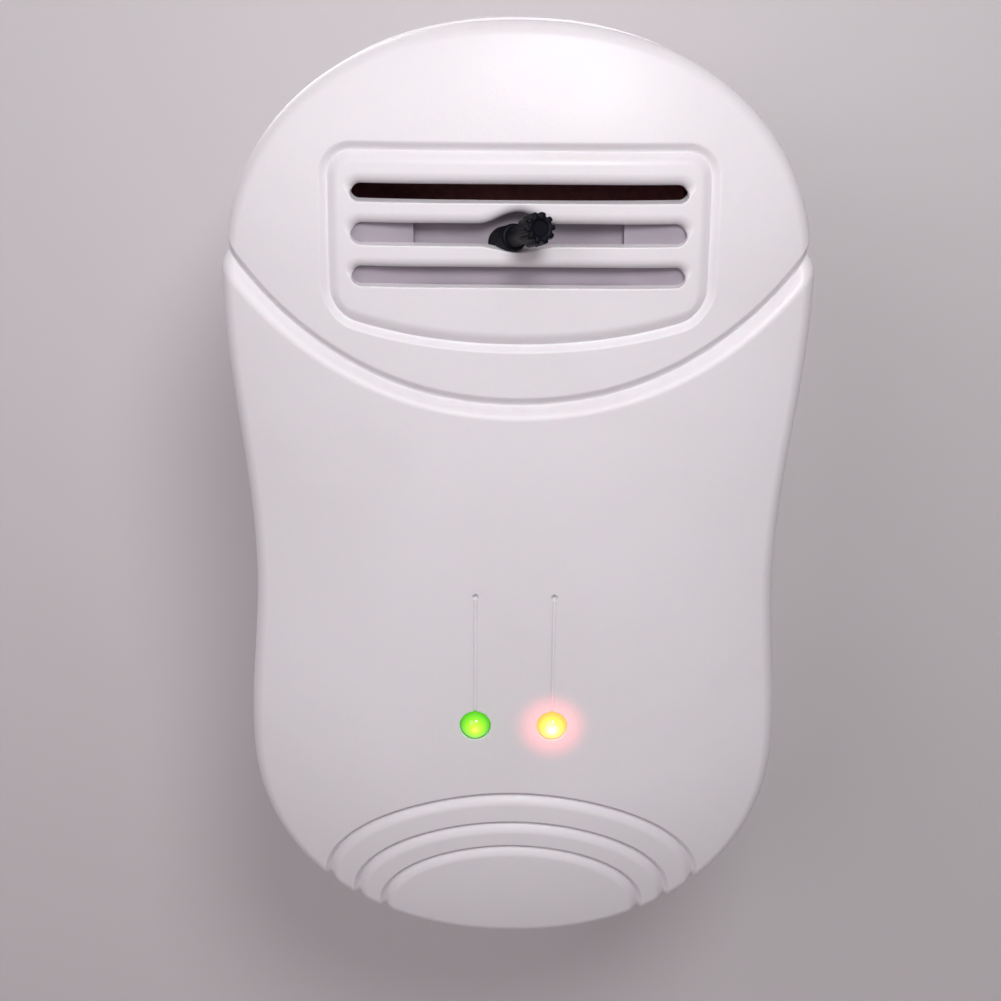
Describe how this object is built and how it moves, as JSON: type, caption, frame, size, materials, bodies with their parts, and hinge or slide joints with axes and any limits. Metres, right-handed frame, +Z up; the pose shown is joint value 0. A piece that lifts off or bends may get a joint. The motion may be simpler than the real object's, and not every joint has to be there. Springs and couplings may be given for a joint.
{
  "type": "ultrasonic pest repeller",
  "caption": "Plug-in ultrasonic pest repeller: white hourglass housing with a slotted sound grille, a bare adjuster shaft, indicator lamps and mains pins on its flat back.",
  "frame": {"origin": "on the flat rear face, midway between the plug pins", "axes": "+Z up along the long side of the housing, +Y out of the rear face along the pins, the front faces -Y, +X to the right seen from the front"},
  "size_m": [0.056, 0.0607, 0.0962],
  "materials": {
    "case": "fine textured white, semi-matt",
    "plate": "smooth off-white",
    "board": "brown phenolic board",
    "green_lamp": "clear tinted epoxy, lit",
    "red_lamp": "clear tinted epoxy, lit",
    "black": "moulded black, satin",
    "steel": "zinc plated",
    "can": "satin",
    "brass": "nickel plated brass",
    "yellow": "film capacitor box",
    "blue": "capacitor sleeve",
    "cream": "resistor lacquer",
    "brown": "insulation",
    "label": "blank paper label"
  },
  "bodies": {
    "housing": {"board_screw_left": "steel", "board_screw_right": "steel", "case_screw_1": "steel", "case_screw_2": "steel", "case_screw_3": "steel", "case_screw_4": "steel", "circuit_board": "board", "clamp_screw_left": "steel", "clamp_screw_right": "steel", "film_capacitor": "yellow", "front_cover": "case", "fuse": "brown", "green_led": "green_lamp", "green_led_spacer": "black", "grille_plate": "plate", "mains_wire_left": "brown", "mains_wire_right": "brown", "pin_clamp": "plate", "pin_sleeve_left": "black", "pin_sleeve_right": "black", "plug_pin_left": "brass", "plug_pin_right": "brass", "rating_label": "label", "rear_cover": "case", "rectifier_diode_1": "black", "rectifier_diode_2": "black", "rectifier_diode_3": "black", "rectifier_diode_4": "black", "red_led": "red_lamp", "red_led_spacer": "black", "resistor_1": "cream", "resistor_2": "cream", "resistor_3": "cream", "resistor_4": "cream", "smoothing_capacitor": "blue", "timer_chip": "black", "timing_capacitor": "black", "transducer_case": "can", "transducer_disc": "brass", "transistor": "black", "trimmer_body": "black", "trimmer_leg_1": "steel", "trimmer_leg_2": "steel", "trimmer_leg_3": "steel"},
    "adjuster": {"trimmer_shaft": "black"}
  },
  "joints": [
    {"name": "adjuster_turn", "type": "hinge", "parent": "housing", "child": "adjuster", "pos_m": [-0.0009, -0.034, 0.01395], "axis": [0.3484, -0.8935, 0.2834], "range_deg": [-115, 115]}
  ]
}
